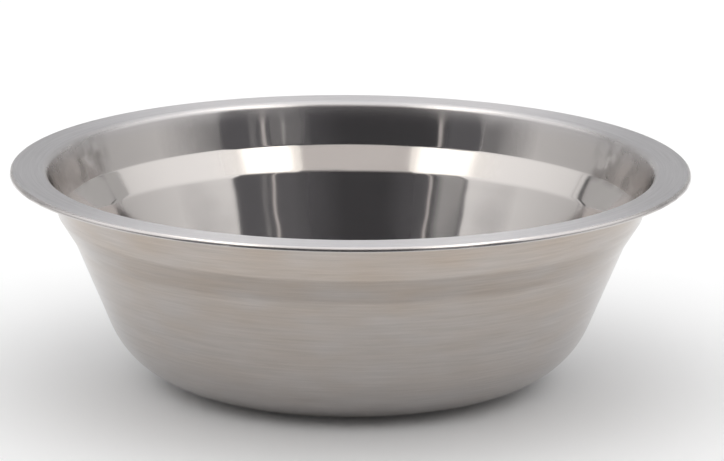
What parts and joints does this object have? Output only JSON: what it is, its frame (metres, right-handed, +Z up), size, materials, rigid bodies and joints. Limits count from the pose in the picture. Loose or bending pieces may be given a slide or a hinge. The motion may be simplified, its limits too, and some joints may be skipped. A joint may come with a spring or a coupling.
{
  "type": "steel pet bowl",
  "caption": "Round pressed-steel pet bowl with a flat flange whose edge is turned down, a stepped wall, a rounded foot and a rubber ring bonded into its base.",
  "frame": {"origin": "on the floor, under the middle of the bowl", "axes": "+Z up along the bowl's axis; the bowl is the same all round, and -Y faces the picture's camera"},
  "size_m": [0.24, 0.24, 0.0765],
  "materials": {
    "stainless_steel": "mirror polished inside, satin with a fine grain round the bowl outside and on the flange",
    "black_rubber": "matt moulded"
  },
  "bodies": {
    "root": {"bowl_body": "stainless_steel", "non_slip_ring": "black_rubber"}
  },
  "joints": []
}
